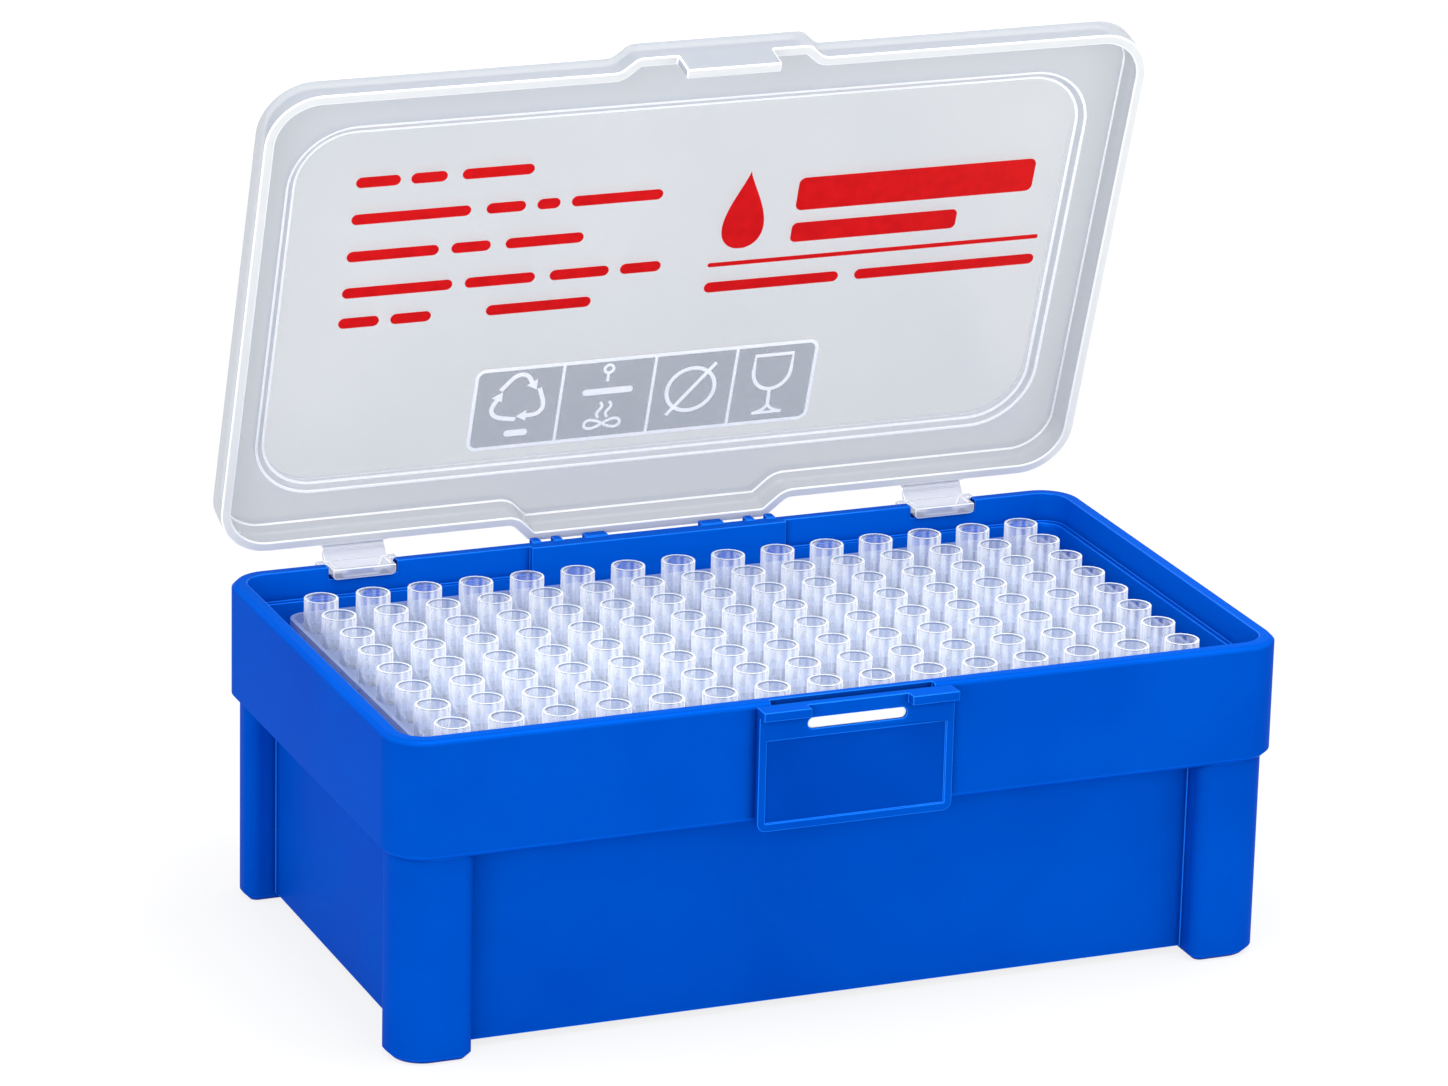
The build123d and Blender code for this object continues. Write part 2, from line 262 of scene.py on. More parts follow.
def show_white(tree, out, soft, white, share):
    """Sends a mix of the soft look and the white one to the output, by the share socket."""
    mix = add_node(tree, "ShaderNodeMixShader")
    join(
        tree,
        (share, mix.inputs[0]),
        (soft.outputs[0], mix.inputs[1]),
        (white.outputs[0], mix.inputs[2]),
        (mix.outputs[0], out.inputs[0]),
    )


world = bpy.data.worlds.new("white_studio")
bpy.context.scene.world = world
air = fresh_tree(world)
show_white(
    air,
    add_node(air, "ShaderNodeOutputWorld"),
    add_node(air, "ShaderNodeBackground", Color=(0.97, 0.98, 1, 1), Strength=0.55),
    add_node(air, "ShaderNodeBackground", Color=(1, 1, 1, 1), Strength=1),
    sees_background(air),
)
bpy.context.scene.view_settings.view_transform = "Standard"
print("world:", world.name)

# %% [markdown]
# ## The floor
# The floor is one large square at the height of the box's feet. If it were only white,
# the box would float, so a part of it stays a real pale surface that takes the shadow.

# %% Lay the floor
floor_half = 3.0
floor_level = cad_box[0].z
floor_white_share = 0.82

floor_paint = bpy.data.materials.new("studio_floor")
ground = fresh_tree(floor_paint)
show_white(
    ground,
    add_node(ground, "ShaderNodeOutputMaterial"),
    add_node(ground, "ShaderNodeBsdfDiffuse", Color=(0.8, 0.8, 0.8, 1)),
    add_node(ground, "ShaderNodeEmission", Color=(1, 1, 1, 1), Strength=1),
    calc(ground, "MULTIPLY", sees_background(ground), floor_white_share),
)

floor_mesh = bpy.data.meshes.new("studio_floor")
floor_corners = [(-1, -1), (1, -1), (1, 1), (-1, 1)]
floor_points = [(x * floor_half, y * floor_half, floor_level) for x, y in floor_corners]
floor_mesh.from_pydata(floor_points, [], [(0, 1, 2, 3)])
floor_mesh.materials.append(floor_paint)
floor = bpy.data.objects.new("studio_floor", floor_mesh)
bpy.context.scene.collection.objects.link(floor)
print("floor at z =", round(floor_level, 4))

# %% [markdown]
# ## The lamps
# Five large softboxes: a main one at the front left, a weaker one at the front right that
# keeps the long wall from going dull, one overhead for the rims and the tips, and two
# behind that fill the ends of the box. Those two are hidden from glossy rays, because
# their mirror images would draw scratchy lines in the tips. The front pair hangs low,
# because the open lid faces forward and slightly down. Large lamps near a small object
# give the broad, soft highlights of plastic.

# %% Hang the softboxes
lamp_aim = Vector((0, 0, 0.06))


def softbox(name, position, size, watts):
    """A square area lamp at a position in metres that points at the box."""
    light = bpy.data.lights.new(name, "AREA")
    light.shape = "SQUARE"
    light.size = size
    light.energy = watts
    lamp = bpy.data.objects.new(name, light)
    direction = lamp_aim - Vector(position)
    lamp.rotation_euler = direction.to_track_quat("-Z", "Y").to_euler()
    lamp.location = position
    bpy.context.scene.collection.objects.link(lamp)
    return lamp


softbox("main_softbox", (-1.0, -1.1, 0.5), 0.8, 9)
softbox("side_softbox", (1.1, -1.0, 0.4), 0.8, 4.5)
softbox("top_softbox", (0.1, -0.2, 1.4), 0.9, 17)
for name, x, watts in (("left_fill", -1.3, 5), ("right_fill", 1.3, 4)):
    softbox(name, (x, 0.55, 0.8), 0.7, watts).visible_glossy = False

# %% [markdown]
# ## What moulded plastic looks like up close
# A polypropylene part has a fine spark-eroded grain from its steel mould, soft patches
# where the plastic flowed and cooled a little differently, and gloss that changes with
# both. All the plastics here share that, so it is one node group, used in each material
# with its own sizes. It gives a slow patch mask, a roughness and a height for a bump.

# %% The moulded skin group
def group_tree(name, inputs, outputs):
    """An empty shader group with float or vector sockets of those names and defaults."""
    tree = bpy.data.node_groups.new(name, "ShaderNodeTree")
    for label, value in inputs.items():
        kind = "NodeSocketVector" if isinstance(value, tuple) else "NodeSocketFloat"
        socket = tree.interface.new_socket(label, in_out="INPUT", socket_type=kind)
        socket.default_value = value
    for label in outputs:
        tree.interface.new_socket(label, in_out="OUTPUT", socket_type="NodeSocketFloat")
    return tree, tree.nodes.new("NodeGroupInput"), tree.nodes.new("NodeGroupOutput")


grain_in_roughness = 0.35
skin, skin_in, skin_out = group_tree(
    "moulded_skin",
    {"Patch Scale": 30.0, "Grain Scale": 4000.0, "Roughness Low": 0.25, "Roughness High": 0.4},
    ("Patches", "Roughness", "Height"),
)
grain_height = noise(skin, own(skin, "Object"), skin_in.outputs["Grain Scale"], 2.0, 0.5)
patches = noise(skin, own(skin, "Object"), skin_in.outputs["Patch Scale"], 3.0, 0.55)
patches = spread(skin, patches, 0.35, 0.65)
both = calc(skin, "MULTIPLY_ADD", grain_height, grain_in_roughness, patches)
rough_limits = [skin_in.outputs[label] for label in ("Roughness Low", "Roughness High")]
join(
    skin,
    (patches, skin_out.inputs["Patches"]),
    (spread(skin, both, 0.2, 1.15, *rough_limits), skin_out.inputs["Roughness"]),
    (grain_height, skin_out.inputs["Height"]),
)
print("moulded_skin gives", [socket.name for socket in skin_out.inputs if socket.name])

# %% [markdown]
# ## A plastic from the shared skin
# Each plastic is one Principled shader. Its two near colours mix by the patch mask, its
# roughness comes from the group, and the grain goes through a Bump node. Opacity, gloss
# level and the rest are the same all over, so they sit on the shader's own sockets. A
# second function lays another look over the first wherever a mask says so.

# %% Plastic maker
grain_depth = 0.02 * MM


def plastic(name, colours, rough=(0.25, 0.4), opacity=1.0, grain=0.05, gloss=0.5, patches=30.0):
    """A moulded plastic with two near colours, both given as 0-255 screen values."""
    material = bpy.data.materials.new(name)
    tree = fresh_tree(material)
    surface = add_node(tree, "ShaderNodeGroup", node_tree=skin)
    surface.inputs["Patch Scale"].default_value = patches
    surface.inputs["Roughness Low"].default_value = rough[0]
    surface.inputs["Roughness High"].default_value = rough[1]
    tint = add_node(tree, "ShaderNodeMix", data_type="RGBA")
    tint.inputs[COLOUR_A].default_value = from_srgb(*colours[0])
    tint.inputs[COLOUR_B].default_value = from_srgb(*colours[1])
    bump = add_node(tree, "ShaderNodeBump", Strength=grain, Distance=grain_depth)
    shader = add_node(tree, "ShaderNodeBsdfPrincipled", Alpha=opacity, IOR=1.49)
    shader.inputs["Specular IOR Level"].default_value = gloss
    out = add_node(tree, "ShaderNodeOutputMaterial")
    join(
        tree,
        (surface.outputs["Patches"], tint.inputs[0]),
        (tint.outputs[COLOUR_RESULT], shader.inputs["Base Color"]),
        (surface.outputs["Roughness"], shader.inputs["Roughness"]),
        (surface.outputs["Height"], bump.inputs["Height"]),
        (bump.outputs[0], shader.inputs["Normal"]),
        (shader.outputs[0], out.inputs[0]),
    )
    return material


def shader_of(material):
    """The Principled shader of a plastic."""
    return next(node for node in material.node_tree.nodes if node.type == "BSDF_PRINCIPLED")


def lay_over(material, mask, colour, opacity=None):
    """Mixes a colour, and an opacity if one is given, over what the plastic has so far:
    result = present (1 - mask) + new mask."""
    tree, shader = material.node_tree, shader_of(material)
    base = shader.inputs["Base Color"]
    mix = add_node(tree, "ShaderNodeMix", data_type="RGBA")
    mix.inputs[COLOUR_B].default_value = from_srgb(*colour)
    join(tree, (mask, mix.inputs[0]), (base.links[0].from_socket, mix.inputs[COLOUR_A]))
    join(tree, (mix.outputs[COLOUR_RESULT], base))
    if opacity is None:
        return
    alpha = shader.inputs["Alpha"]
    clear = add_node(tree, "ShaderNodeMix", data_type="FLOAT")
    clear.inputs[FLOAT_A].default_value = alpha.default_value
    clear.inputs[FLOAT_B].default_value = opacity
    if alpha.is_linked:
        join(tree, (alpha.links[0].from_socket, clear.inputs[FLOAT_A]))
    join(tree, (mask, clear.inputs[0]), (clear.outputs[FLOAT_RESULT], alpha))


print("the grain is", *in_mm([grain_depth], 2), "mm deep")

# %% [markdown]
# ## Four blues
# The box is one blue plastic. The outside is grained and nearly dull. The bevels along the
# rim, the band and the feet get a lighter blue, a painted highlight, and the sunk field of
# the catch plate is a little darker. The rounded edges are polished and glossier, and their
# still lighter blue is a painted highlight too. Saturated pigment tints the gloss as well,
# which a small share of Metallic with a blue tint gives without turning the plastic into metal.

# %% The blue plastics
def gloss_of_own_colour(material, share, tint=(0.02, 0.25, 1, 1)):
    """A share of the surface reflects in its own colour."""
    shader_of(material).inputs["Metallic"].default_value = share
    shader_of(material).inputs["Specular Tint"].default_value = tint


grained = {"rough": (0.3, 0.42), "gloss": 0.003}
blue = plastic("blue_box_plastic", [(0, 70, 178), (0, 77, 186)], **grained)
# painted highlight: the bevels get a lighter blue than the flat faces
blue_slope_highlight = plastic("blue_bevel_painted_highlight", [(0, 80, 194), (2, 86, 202)], **grained)
blue_field = plastic("blue_sunk_field_plastic", [(0, 61, 164), (0, 67, 171)], **grained)
# painted highlight: the rounded edges get a still lighter blue, on top of their real gloss
blue_highlight_edge = plastic("blue_polished_edge_painted_highlight", [(14, 112, 234), (26, 122, 242)], (0.2, 0.3), gloss=0.1)
for material in (blue, blue_slope_highlight, blue_field):
    gloss_of_own_colour(material, 0.12)
gloss_of_own_colour(blue_highlight_edge, 0.2)
print("made", [material.name for material in (blue, blue_slope_highlight, blue_field, blue_highlight_edge)])

# %% [markdown]
# ## Where light is painted on the blue
# The rim and the inside of the tall band get a lighter blue than the outside: painted light
# from above on the faces that point up, and painted light that lifts the shade on the faces
# inside the band. The group below finds them on the box itself: a face that points up is
# rim, and a point that is above the shelf and nearer the middle than the band's inner faces
# is inside.

# %% A group that finds the rim and the inside
places, places_in, places_out = group_tree(
    "painted_light_rim_and_inside",
    {"Half Length": 0.07, "Half Width": 0.04, "Shelf Height": 0.04},
    ("Rim", "Inside"),
)
own_xyz = add_node(places, "ShaderNodeSeparateXYZ")
own_facing = add_node(places, "ShaderNodeSeparateXYZ")
feed(places, own_xyz, own(places, "Object"))
feed(places, own_facing, own(places, "Normal"))
shares = [
    calc(places, "DIVIDE", calc(places, "ABSOLUTE", own_xyz.outputs[axis]), places_in.outputs[half])
    for axis, half in (("X", "Half Length"), ("Y", "Half Width"))
]
within = calc(places, "LESS_THAN", calc(places, "MAXIMUM", *shares), 1.0)
above = calc(places, "GREATER_THAN", own_xyz.outputs["Z"], places_in.outputs["Shelf Height"])
join(
    places,
    (calc(places, "MULTIPLY", within, above), places_out.inputs["Inside"]),
    (spread(places, own_facing.outputs["Z"], 0.7, 0.95), places_out.inputs["Rim"]),
)
print("painted_light_rim_and_inside gives", [socket.name for socket in places_out.inputs if socket.name])

# %% [markdown]
# ## Light inside, dark in the laps
# The group goes into the blue with the box's own sizes. The catch plate laps over the
# band, and hardly any light gets into the corner where they meet, so a thin dark line
# runs round it. Ambient Occlusion measures how near other faces are, and the blue is
# darkened by that within a millimetre or two.

# %% Shade the blue
band_thick = 2.6 * MM
band_slack = 0.1 * MM           # so that the inner faces themselves count as inside
shelf_slack = 1 * MM            # so that the shelf does not
lap_reach = 1.6 * MM
band_inside = (
    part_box("box_base")[1].x - band_thick + band_slack,
    -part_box("catch_plate")[1].y - band_thick + band_slack,
)

painted_light_finder = add_node(blue.node_tree, "ShaderNodeGroup", node_tree=places)
painted_light_finder.inputs["Half Length"].default_value = band_inside[0]
painted_light_finder.inputs["Half Width"].default_value = band_inside[1]
painted_light_finder.inputs["Shelf Height"].default_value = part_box("tip_tray")[0].z + shelf_slack
# painted light: the inside of the band gets a lighter blue that lifts its shade, and faces that
# point up get one for the light from above
lay_over(blue, painted_light_finder.outputs["Inside"], (0, 94, 216))
lay_over(blue, painted_light_finder.outputs["Rim"], (4, 86, 198))

nearby = add_node(blue.node_tree, "ShaderNodeAmbientOcclusion", Distance=lap_reach, samples=8)
lay_over(blue, spread(blue.node_tree, nearby.outputs["AO"], 0.95, 0.35), (0, 36, 120))
print("the band's inside faces are", in_mm(band_inside), "mm from the middle")

# %% [markdown]
# ## Streaks in the tips
# The tips' walls get faint upright streaks of opacity, painted highlights for the bands of
# light that lamps draw down a round tube. They also break up the outlines of the tips behind.
# They only change with the direction from the tip's own axis. As the tips stand on a regular
# pitch, dividing the place by the pitch and keeping the fraction gives each tip the same
# small cell, with the axis in its middle. Noise on the level direction from there gives spokes,
# upright on the wall.

# %% The streaks group
streaks, streaks_in, streaks_out = group_tree(
    "highlight_streaks_round_each_tip", {"Pitch": 0.009, "Streak Scale": 2.2}, ("Streaks",))
pitch_in = streaks_in.outputs["Pitch"]
cell_size = feed(streaks, add_node(streaks, "ShaderNodeCombineXYZ"), pitch_in, pitch_in, 1.0)
spot = calc_vector(streaks, "DIVIDE", own(streaks, "Object"), cell_size)
spot = calc_vector(streaks, "ADD", spot, (0.5, 0.0, 0.0))   # only columns stand on whole pitches
spot = calc_vector(streaks, "FRACTION", spot)
spot = calc_vector(streaks, "SUBTRACT", spot, (0.5, 0.5, 0.0))
level_spot = calc_vector(streaks, "MULTIPLY", spot, (1.0, 1.0, 0.0))
outwards = calc_vector(streaks, "NORMALIZE", level_spot)
spokes = noise(streaks, outwards, streaks_in.outputs["Streak Scale"], 1.0, 0.4)
join(streaks, (spread(streaks, spokes, 0.4, 0.6), streaks_out.inputs["Streaks"]))
print("streaks repeat every", streaks.interface.items_tree["Pitch"].default_value, "m")

# %% [markdown]
# ## Clear plastics
# The lid, the clips, the deck and the tips are thin natural polypropylene. Light passes
# straight through most of each wall and the rest is scattered, so a wall looks like a
# pale colour laid thinly over what is behind it. Opacity below 1 does exactly that. Seen
# along the wall there is more plastic in the way, so the sides of a tube look whiter:
# Layer Weight raises the opacity there. A tip's rim catches the light and is nearly
# white, and its throat just below is shaded. Many walls lie behind each other, so a ray
# needs leave to pass through many of them.

# %% Deck and tip plastics
walls_in_a_row = 96


def thicker_at_sides(material, face_on, edge_on, start, end):
    """Opacity that runs from face_on, seen square, to edge_on, seen along the wall, between
    two values of Layer Weight. Face on it also varies in the upright streaks of painted highlight."""
    tree = material.node_tree
    # painted highlight: the streaks raise the opacity of the pale wall in upright bands
    upright = add_node(tree, "ShaderNodeGroup", node_tree=streaks).outputs["Streaks"]
    streaked_opacity = spread(tree, upright, 0, 1, face_on * 0.35, face_on * 1.75)
    facing = add_node(tree, "ShaderNodeLayerWeight", Blend=0.5).outputs["Facing"]
    opacity = spread(tree, facing, start, end, streaked_opacity, edge_on)
    join(tree, (opacity, shader_of(material).inputs["Alpha"]))


# painted shade: the deck's blue-grey, darker than the tips' plastic, stands in for the shadows that
# the tips no longer drop
deck_shaded_clear = plastic(
    "deck_plastic", [(158, 174, 212), (168, 183, 219)], (0.25, 0.4), opacity=0.48, grain=0.01)
tip_clear = plastic(
    "tip_clear_plastic", [(240, 245, 253), (246, 250, 255)], (0.12, 0.2), grain=0.0)
tip_rim = plastic(
    "tip_bright_rim", [(247, 250, 255), (252, 254, 255)], (0.15, 0.25), opacity=0.92, grain=0.01)
tip_throat = plastic(
    "tip_shaded_throat", [(84, 108, 156), (96, 120, 168)], (0.15, 0.25), opacity=0.6, grain=0.01)
thicker_at_sides(tip_clear, face_on=0.2, edge_on=0.97, start=0.46, end=0.66)
shader_of(tip_clear).inputs["Sheen Weight"].default_value = 1.0
shader_of(tip_clear).inputs["Sheen Roughness"].default_value = 0.3
bpy.context.scene.cycles.transparent_max_bounces = walls_in_a_row
print("clear plastics:", [m.name for m in (deck_shaded_clear, tip_clear, tip_rim, tip_throat)])

# %% [markdown]
# ## Telling the lid's faces apart
# The lid's broad panel is pressed smooth and reads as a cool grey film. Its brim and its
# walls are seen through more plastic and read denser, and the band along its foot is
# nearly white. Which is which can be told from the direction that a face points in and
# from its height. Both are taken along the plate's own upright and worked out on the lid
# itself, so the looks turn with it. The group below gives a mask of the tilt.

# %% Tilt mask and levels
tilt, tilt_in, tilt_out = group_tree("tilt_from_plate", {"Upright": (0.0, 0.0, 1.0)}, ("Tilt",))
along_upright = calc_vector(tilt, "DOT_PRODUCT", own(tilt, "Normal"), tilt_in.outputs["Upright"])
tilted = spread(tilt, calc(tilt, "ABSOLUTE", along_upright), 0.985, 0.8)
join(tilt, (tilted, tilt_out.inputs["Tilt"]))

lid_upright = (0.0, math.sin(open_turn), math.cos(open_turn))
lid_heights = lid_points @ np.array(lid_upright)
foot_tall = 4.7 * MM
brim_drop = 1.7 * MM
foot_level = lid_heights.min() + foot_tall
brim_level = lid_heights.max() - brim_drop
print("foot below and panel above, along the upright:", in_mm([foot_level, brim_level]), "mm")

# %% [markdown]
# ## The lid's looks
# Each look is a colour and an opacity. The panel comes first, then brim, foot and wall
# are laid over it, each where its mask is 1. A clear wall seen almost along itself goes
# grey, as the edge of a sheet of glass does, so a last layer paints that shade in by Layer Weight.
# The clips are the same moulding as the lid, but small and bright, with hardly any
# difference between their faces. The lid's rounded edges are nearly white, a painted highlight.

# %% Lid and clip plastics
def lid_plastic(name, looks):
    """Clear plastic with four looks: panel, brim, foot and wall. Wall is any tilted face.
    Level faces are brim below brim_level and foot below foot_level."""
    panel_colours, panel_opacity = looks["panel"]
    material = plastic(name, panel_colours, (0.14, 0.26), opacity=panel_opacity, grain=0.01)
    tree = material.node_tree
    height = calc_vector(tree, "DOT_PRODUCT", own(tree, "Object"), lid_upright)
    for look, level in (("brim", brim_level), ("foot", foot_level)):
        lay_over(material, calc(tree, "LESS_THAN", height, level), *looks[look])
    tilt_here = add_node(tree, "ShaderNodeGroup", node_tree=tilt)
    tilt_here.inputs["Upright"].default_value = lid_upright
    lay_over(material, tilt_here.outputs["Tilt"], *looks["wall"])
    # painted shade: a wall seen almost along itself is greyed
    facing = add_node(tree, "ShaderNodeLayerWeight", Blend=0.5).outputs["Facing"]
    lay_over(material, spread(tree, facing, 0.72, 0.98, 0, 0.8), (128, 137, 150))
    return material


lid_clear = lid_plastic("lid_clear_plastic", {
    "panel": ([(180, 187, 194), (190, 196, 201)], 0.33),
    "brim": ((177, 185, 194), 0.48),
    "foot": ((226, 228, 227), 0.88),
    "wall": ((176, 182, 191), 0.55),
})
clip_level_look = ((216, 222, 240), 0.45)
clip_clear = lid_plastic("clip_clear_plastic", {
    "panel": ([(216, 222, 240), (224, 230, 246)], 0.45),
    "brim": clip_level_look,
    "foot": clip_level_look,
    "wall": ((222, 227, 242), 0.5),
})
# painted highlight: the rounded edges of the lid and clips are nearly white and nearly opaque
lid_highlight_edge = plastic(
    "lid_white_highlight_edge", [(250, 251, 253), (254, 255, 255)], (0.14, 0.22), opacity=0.95, grain=0.01)
print("lid plastics:", [m.name for m in (lid_clear, clip_clear, lid_highlight_edge)])

# %% [markdown]
# ## Soft edges on the CAD parts
# A mould can't make a perfectly sharp edge, and it is the small rounding that catches the
# light. The CAD mesh itself stays as it is: modifiers on top of it merge its loose
# corners, join the flat triangles back into whole faces, and round every edge that is
# sharper than a set angle. The rounded strip takes the second material, painted lighter as a
# highlight.
# The thin deck keeps its edges: rounding them would fill its 120 holes with bright rings.

# %% Rounding by modifiers
merge_within = 0.002 * MM
flat_within = math.radians(0.6)


def clean_start():
    """A geometry node modifier tree: forgets the stored normals, merges corners, shades smooth."""
    tree = bpy.data.node_groups.new("clean_start", "GeometryNodeTree")
    for direction in ("INPUT", "OUTPUT"):
        tree.interface.new_socket("Geometry", in_out=direction, socket_type="NodeSocketGeometry")
    start, end = tree.nodes.new("NodeGroupInput"), tree.nodes.new("NodeGroupOutput")
    shape = start.outputs[0]
    for kind, values in (
        ("GeometryNodeRemoveAttribute", {"Name": "custom_normal"}),
        ("GeometryNodeMergeByDistance", {"Distance": merge_within}),
        ("GeometryNodeSetShadeSmooth", {}),
    ):
        shape = feed(tree, add_node(tree, kind, **values), shape)
    join(tree, (shape, end.inputs[0]))
    return tree


clean_tree = clean_start()


def soften(name, face, edge, width, angle=32.0):
    """Gives a CAD node its two materials and rounds its sharp edges by width, in metres.
    A width of 0 leaves the edges: their normals are split there, so that they stay crisp."""
    node = frame["nodes"][name]
    node.data.materials[0] = face
    node.data.materials.append(edge)
    node.modifiers.new("clean", "NODES").node_group = clean_tree
    if not width:
        split = node.modifiers.new("crisp_edges", "EDGE_SPLIT")
        split.split_angle = math.radians(angle)
        return node
    whole = node.modifiers.new("whole_faces", "DECIMATE")
    whole.decimate_type = "DISSOLVE"
    whole.angle_limit = flat_within
    rounding = node.modifiers.new("rounding", "BEVEL")
    rounding.width = width
    rounding.segments = 2
    rounding.limit_method = "ANGLE"
    rounding.angle_limit = math.radians(angle)
    rounding.material = 1
    rounding.use_clamp_overlap = False
    rounding.miter_outer = "MITER_ARC"
    normals = node.modifiers.new("flat_stays_flat", "WEIGHTED_NORMAL")
    normals.weight = 80
    return node


print("the deck has", len(frame["nodes"]["tip_tray"].data.polygons), "triangles to keep crisp")

# %% [markdown]
# ## Finishing each CAD part
# The box's bevels lean at 45 degrees, so an angle limit of 50 leaves them as they are and
# only rounds the true corners. A face knows which way it points, and that is enough to
# give the bevels their lighter blue of painted highlight, and the sunk field of the catch
# plate its darker blue.

# %% Round and paint the CAD parts
def paint(node, material, is_wanted):
    """Gives one more material to those faces of a node for which is_wanted(face) is true."""
    node.data.materials.append(material)
    wanted = [face for face in node.data.polygons if is_wanted(face)]
    for face in wanted:
        face.material_index = len(node.data.materials) - 1
    print(node.name, "has", len(wanted), "faces of", material.name)


plate_thick_over_band = 1.6 * MM
plate_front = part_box("catch_plate")[1].y - plate_thick_over_band
field_from = plate_front + 0.2 * MM


def is_bevel(face):
    """True for a face that leans up or down by 30 to 60 degrees."""
    return 0.5 < abs(face.normal.z) < 0.87


def is_sunk_field(face):
    """True for a face that looks forward from behind the plate's front face."""
    return face.normal.y < -0.9 and face.center.y > field_from


paint(soften("box_base", blue, blue_highlight_edge, 0.16 * MM, angle=50.0), blue_slope_highlight, is_bevel)
paint(soften("catch_plate", blue, blue_highlight_edge, 0.12 * MM), blue_field, is_sunk_field)
soften("tip_tray", deck_shaded_clear, tip_rim, 0)
for clip in ("hinge_clip_left", "hinge_clip_right"):
    soften(clip, clip_clear, lid_highlight_edge, 0.15 * MM)
soften("lid", lid_clear, lid_highlight_edge, 0.26 * MM, angle=25.0)

# %% [markdown]
# ## Grids and pieces
# Every new mesh below is made of rings of points. Each ring has the same number of points
# and joins the next one, so that all points and faces come from whole arrays. The last
# ring joins the first, or a face closes each end, so no edge stays open. With the corners
# of all faces in one order, all of them point outwards.

# %% Grid faces and mesh objects
def ring_faces(rings, around):
    """Quads of a closed grid: each of the rings joins the next, the last joins the first."""
    ring, spoke = np.meshgrid(np.arange(rings), np.arange(around), indexing="ij")
    after, beside = (ring + 1) % rings, (spoke + 1) % around
    corners = [
        ring * around + spoke,
        ring * around + beside,
        after * around + beside,
        after * around + spoke,
    ]
    return np.stack(corners, axis=-1).reshape(-1, 4)


def prism_faces(n):
    """Faces between two like outlines of n points each: n sides, then the two ends."""
    sides = ring_faces(2, n)[:n].tolist()
    return sides + [list(range(n))[::-1], list(range(n, 2 * n))]


def make_piece(name, points, faces, materials, smooth=False):
    """A mesh object from an array of points and a list of faces."""
    mesh = bpy.data.meshes.new(name)
    mesh.from_pydata(points.reshape(-1, 3).tolist(), [], faces)
    mesh.polygons.foreach_set("use_smooth", np.full(len(mesh.polygons), smooth))
    for material in materials:
        mesh.materials.append(material)
    piece = bpy.data.objects.new(name, mesh)
    bpy.context.scene.collection.objects.link(piece)
    return piece


print("a grid of 3 rings of 4 points closes into", len(ring_faces(3, 4)), "faces")

# %% [markdown]
# ## One tip
# A tip is a hollow tube: a wide cylindrical mouth that takes the pipette, a shoulder that
# rests on the deck, and a long cone down to the fine point. All of it is one profile
# turned about the tip's axis, so the mesh is a grid: profile points by turn angle. The
# CAD tips have flat sides, and the round one runs just inside their corners. With 16
# faces round it stays light, and smooth shading makes it round.

# %% Profile of a tip
row_names = [name for name in frame["nodes"] if name.startswith("tips_row_")]
row_low, row_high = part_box(row_names[0])
mouth_reach = (row_high.y - row_low.y) / 2
row_corners = node_points(row_names[0])
on_mouth = np.abs(row_corners[:, 1] - (row_low.y + row_high.y) / 2) > mouth_reach - 0.01 * MM
shoulder = row_corners[on_mouth, 2].min()

around = 16
tip_radius = mouth_reach - 0.2 * MM
cone_radius = tip_radius - 0.4 * MM
cone_bore = tip_radius - 1.0 * MM
point_radius = 0.5 * MM
point_bore = 0.25 * MM
mouth_bore = tip_radius - 0.38 * MM
mouth_foot = shoulder + 1.2 * MM
throat_foot = row_high.z - 0.3 * MM
profile = np.array([            # radius and height: down the outside, then up the inside
    (tip_radius, row_high.z),
    (tip_radius, shoulder),
    (cone_radius, shoulder),
    (point_radius, row_low.z),
    (point_bore, row_low.z),
    (cone_bore, shoulder),
    (mouth_bore, mouth_foot),
    (mouth_bore, throat_foot),
    (mouth_bore, row_high.z),
])
spin = np.linspace(0, 2 * math.pi, around, endpoint=False)
one_tip = np.stack([
    profile[:, :1] * np.cos(spin),
    profile[:, :1] * np.sin(spin),
    np.repeat(profile[:, 1:], around, axis=1),
], axis=-1)
tip_faces = ring_faces(len(profile), around)[:, ::-1]
print("one tip has", len(tip_faces), "faces and a mouth of", *in_mm([2 * tip_radius], 2), "mm")

# %% [markdown]
# ## Eight rows of tips
# A row is one piece: the same tip, moved to each of its 15 places with whole arrays. The
# last two rings of faces are the rim and the throat, with materials of their own. The
# tips drop no shadow, because so many stacked clear walls would turn the deck and the
# tips behind them far darker than the light that real plastic scatters sideways.

# %% The tips, row by row
columns = 15
pitch = 9 * MM
tip_materials = [tip_clear, tip_rim, tip_throat]
tip_slots = np.zeros((len(profile), around), int)
tip_slots[-1] = tip_materials.index(tip_rim)
tip_slots[-2] = tip_materials.index(tip_throat)
steps = (np.arange(columns) - (columns - 1) / 2) * pitch
first_points = np.arange(columns) * len(profile) * around
row_faces = (tip_faces[None] + first_points[:, None, None]).reshape(-1, 4).tolist()
for name in row_names:
    low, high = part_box(name)
    shifts = np.stack([steps, np.full(columns, (low.y + high.y) / 2), np.zeros(columns)], axis=-1)
    points = one_tip.reshape(1, -1, 3) + shifts[:, None, :]
    new_name = name.replace("tips_row", "round_tips")
    row = make_piece(new_name, points, row_faces, tip_materials, smooth=True)
    row.data.polygons.foreach_set("material_index", np.tile(tip_slots.ravel(), columns))
    row.visible_shadow = False
    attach(row, "base")
    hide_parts(name)
print(len(row_names), "rows of", columns, "tips")

# %% [markdown]
# ## Strokes of ink
# The lid's plate is screen printed: lines of red ink, a bold mark, and a smoky panel of
# small white signs. Here the lines are plain bars and the mark is a drop with two bars.
# Every stroke is a thin slab of ink. Its outline is a width carried along a path, so a
# straight bar with round ends, a ring and a wavy line all come from one function.

